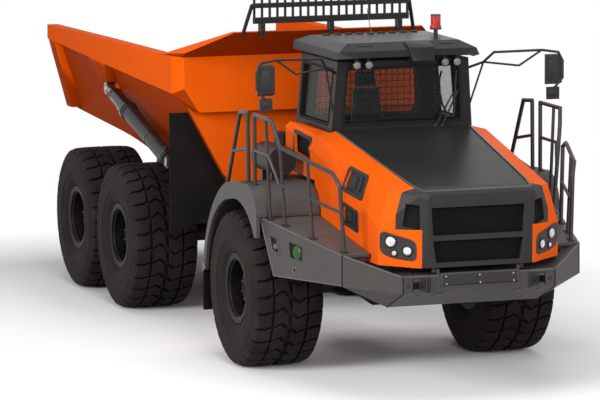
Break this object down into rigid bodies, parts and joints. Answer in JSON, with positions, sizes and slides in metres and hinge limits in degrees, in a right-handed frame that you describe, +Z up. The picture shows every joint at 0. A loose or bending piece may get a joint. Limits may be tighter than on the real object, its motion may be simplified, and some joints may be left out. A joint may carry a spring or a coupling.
{
  "type": "articulated dump truck",
  "caption": "Six-wheel articulated dump truck with a tipping bin, a steering and rolling frame joint, a lifting hood and a cab with a hinged door.",
  "frame": {"origin": "on the ground, under the middle of the machine's length and width", "axes": "+X forward, +Y to the machine's left, +Z up"},
  "size_m": [10.16, 3.3172, 3.6999],
  "materials": {
    "orange_paint": "gloss orange paint with light dust",
    "charcoal_paint": "glossy charcoal paint",
    "grille_plastic": "satin black moulding",
    "grey_body": "satin dark grey",
    "frame_paint": "satin black paint",
    "axle_iron": "painted castings",
    "tinted_glass": "tinted safety glass",
    "flap_rubber": "matt black sheet",
    "seat_cloth": "woven dark cloth",
    "cylinder_paint": "satin dark grey paint",
    "rod_chrome": "hard chrome with a film of oil",
    "tyre_rubber": "matt rubber with block tread",
    "rim_paint": "satin dark grey paint"
  },
  "bodies": {
    "front_chassis": {"front_frame": "frame_paint", "front_axle": "axle_iron", "front_suspension": "frame_paint", "engine": "axle_iron", "radiator": "axle_iron", "front_bumper": "grey_body", "side_deck_left": "grey_body", "side_deck_right": "grey_body", "front_fenders": "grey_body", "front_mudflaps": "flap_rubber", "handrails_left": "frame_paint", "handrails_right": "frame_paint", "cab_body": "charcoal_paint", "cab_glass": "tinted_glass", "cab_roof": "charcoal_paint", "roof_lamps": "charcoal_paint", "seat": "seat_cloth", "dashboard": "grille_plastic", "mirrors": "grille_plastic", "cowl_right": "orange_paint", "air_cleaner": "charcoal_paint"},
    "hood": {"hood_top": "charcoal_paint", "hood_sides": "orange_paint", "grille": "grille_plastic"},
    "cab_door": {"cab_door": "charcoal_paint", "door_glass": "tinted_glass"},
    "hitch": {"artic_hitch": "frame_paint"},
    "rear_chassis": {"rear_frame": "frame_paint", "hoist_feet": "frame_paint", "middle_axle": "axle_iron", "rear_axle": "axle_iron", "walking_beams": "frame_paint"},
    "bin": {"bin_floor": "orange_paint", "bin_side_left": "orange_paint", "bin_side_right": "orange_paint", "bin_front_wall": "orange_paint", "bin_guard": "frame_paint", "bin_splash_flaps": "flap_rubber"},
    "hoist_barrel_left": {"hoist_barrel_left": "cylinder_paint"},
    "hoist_stage_left": {"hoist_stage_left": "rod_chrome"},
    "hoist_rod_left": {"hoist_rod_left": "rod_chrome"},
    "steering_barrel_left": {"steering_barrel_left": "cylinder_paint"},
    "steering_rod_left": {"steering_rod_left": "rod_chrome"},
    "hoist_barrel_right": {"hoist_barrel_right": "cylinder_paint"},
    "hoist_stage_right": {"hoist_stage_right": "rod_chrome"},
    "hoist_rod_right": {"hoist_rod_right": "rod_chrome"},
    "steering_barrel_right": {"steering_barrel_right": "cylinder_paint"},
    "steering_rod_right": {"steering_rod_right": "rod_chrome"},
    "wheel_front_left": {"tyre_front_left": "tyre_rubber", "rim_front_left": "rim_paint"},
    "wheel_front_right": {"tyre_front_right": "tyre_rubber", "rim_front_right": "rim_paint"},
    "wheel_middle_left": {"tyre_middle_left": "tyre_rubber", "rim_middle_left": "rim_paint"},
    "wheel_middle_right": {"tyre_middle_right": "tyre_rubber", "rim_middle_right": "rim_paint"},
    "wheel_rear_left": {"tyre_rear_left": "tyre_rubber", "rim_rear_left": "rim_paint"},
    "wheel_rear_right": {"tyre_rear_right": "tyre_rubber", "rim_rear_right": "rim_paint"}
  },
  "joints": [
    {"name": "steering", "type": "hinge", "parent": "front_chassis", "child": "hitch", "pos_m": [0.938, 0, 1.01], "axis": [0, 0, 1], "range_deg": [-45, 45]},
    {"name": "frame_roll", "type": "hinge", "parent": "hitch", "child": "rear_chassis", "pos_m": [0.43, 0, 1.01], "axis": [1, 0, 0], "range_deg": [-15, 15]},
    {"name": "bin_tip", "type": "hinge", "parent": "rear_chassis", "child": "bin", "pos_m": [-4, 0, 1.55], "axis": [0, -1, 0], "range_deg": [0, 70]},
    {"name": "hood_lift", "type": "hinge", "parent": "front_chassis", "child": "hood", "pos_m": [5, 0, 1.29], "axis": [0, 1, 0], "range_deg": [0, 60]},
    {"name": "door_swing", "type": "hinge", "parent": "front_chassis", "child": "cab_door", "pos_m": [1.95, 0.78, 2.2], "axis": [0, 0, 1], "range_deg": [0, 75]},
    {"name": "hoist_pivot_left", "type": "hinge", "parent": "rear_chassis", "child": "hoist_barrel_left", "pos_m": [-0.65, 1.36, 1.769], "axis": [0, 1, 0], "range_deg": [0, 1.5]},
    {"name": "hoist_stage_left", "type": "slide", "parent": "hoist_barrel_left", "child": "hoist_stage_left", "axis": [-0.9696, 0, 0.2445], "range_m": [0, 0.757]},
    {"name": "hoist_rod_left", "type": "slide", "parent": "hoist_stage_left", "child": "hoist_rod_left", "axis": [-0.9696, 0, 0.2445], "range_m": [0, 0.757]},
    {"name": "steering_pivot_left", "type": "hinge", "parent": "front_chassis", "child": "steering_barrel_left", "pos_m": [1.81, 0.3, 1.01], "axis": [0, 0, 1], "range_deg": [-4, 4]},
    {"name": "steering_slide_left", "type": "slide", "parent": "steering_barrel_left", "child": "steering_rod_left", "axis": [-0.9995, 0.0309, 0], "range_m": [-0.239, 0.239]},
    {"name": "hoist_pivot_right", "type": "hinge", "parent": "rear_chassis", "child": "hoist_barrel_right", "pos_m": [-0.65, -1.36, 1.769], "axis": [0, 1, 0], "range_deg": [0, 1.5]},
    {"name": "hoist_stage_right", "type": "slide", "parent": "hoist_barrel_right", "child": "hoist_stage_right", "axis": [-0.9696, 0, 0.2445], "range_m": [0, 0.757]},
    {"name": "hoist_rod_right", "type": "slide", "parent": "hoist_stage_right", "child": "hoist_rod_right", "axis": [-0.9696, 0, 0.2445], "range_m": [0, 0.757]},
    {"name": "steering_pivot_right", "type": "hinge", "parent": "front_chassis", "child": "steering_barrel_right", "pos_m": [1.81, -0.3, 1.01], "axis": [0, 0, 1], "range_deg": [-4, 4]},
    {"name": "steering_slide_right", "type": "slide", "parent": "steering_barrel_right", "child": "steering_rod_right", "axis": [-0.9995, -0.0309, 0], "range_m": [-0.239, 0.239]},
    {"name": "wheel_front_left", "type": "hinge", "parent": "front_chassis", "child": "wheel_front_left", "pos_m": [2.3, 1.262, 0.806], "axis": [0, 1, 0], "continuous": true},
    {"name": "wheel_front_right", "type": "hinge", "parent": "front_chassis", "child": "wheel_front_right", "pos_m": [2.3, -1.262, 0.806], "axis": [0, 1, 0], "continuous": true},
    {"name": "wheel_middle_left", "type": "hinge", "parent": "rear_chassis", "child": "wheel_middle_left", "pos_m": [-1.881, 1.262, 0.806], "axis": [0, 1, 0], "continuous": true},
    {"name": "wheel_middle_right", "type": "hinge", "parent": "rear_chassis", "child": "wheel_middle_right", "pos_m": [-1.881, -1.262, 0.806], "axis": [0, 1, 0], "continuous": true},
    {"name": "wheel_rear_left", "type": "hinge", "parent": "rear_chassis", "child": "wheel_rear_left", "pos_m": [-3.551, 1.262, 0.806], "axis": [0, 1, 0], "continuous": true},
    {"name": "wheel_rear_right", "type": "hinge", "parent": "rear_chassis", "child": "wheel_rear_right", "pos_m": [-3.551, -1.262, 0.806], "axis": [0, 1, 0], "continuous": true}
  ],
  "couplings": [
    {"joint": "hoist_pivot_left", "follows": "bin_tip", "ratio": 0.02},
    {"joint": "hoist_stage_left", "follows": "bin_tip", "m_per_rad": 0.6187},
    {"joint": "hoist_rod_left", "follows": "bin_tip", "m_per_rad": 0.6187},
    {"joint": "steering_pivot_left", "follows": "steering", "ratio": 0.082},
    {"joint": "steering_slide_left", "follows": "steering", "m_per_rad": 0.303},
    {"joint": "hoist_pivot_right", "follows": "bin_tip", "ratio": 0.02},
    {"joint": "hoist_stage_right", "follows": "bin_tip", "m_per_rad": 0.6187},
    {"joint": "hoist_rod_right", "follows": "bin_tip", "m_per_rad": 0.6187},
    {"joint": "steering_pivot_right", "follows": "steering", "ratio": 0.082},
    {"joint": "steering_slide_right", "follows": "steering", "m_per_rad": -0.303}
  ]
}
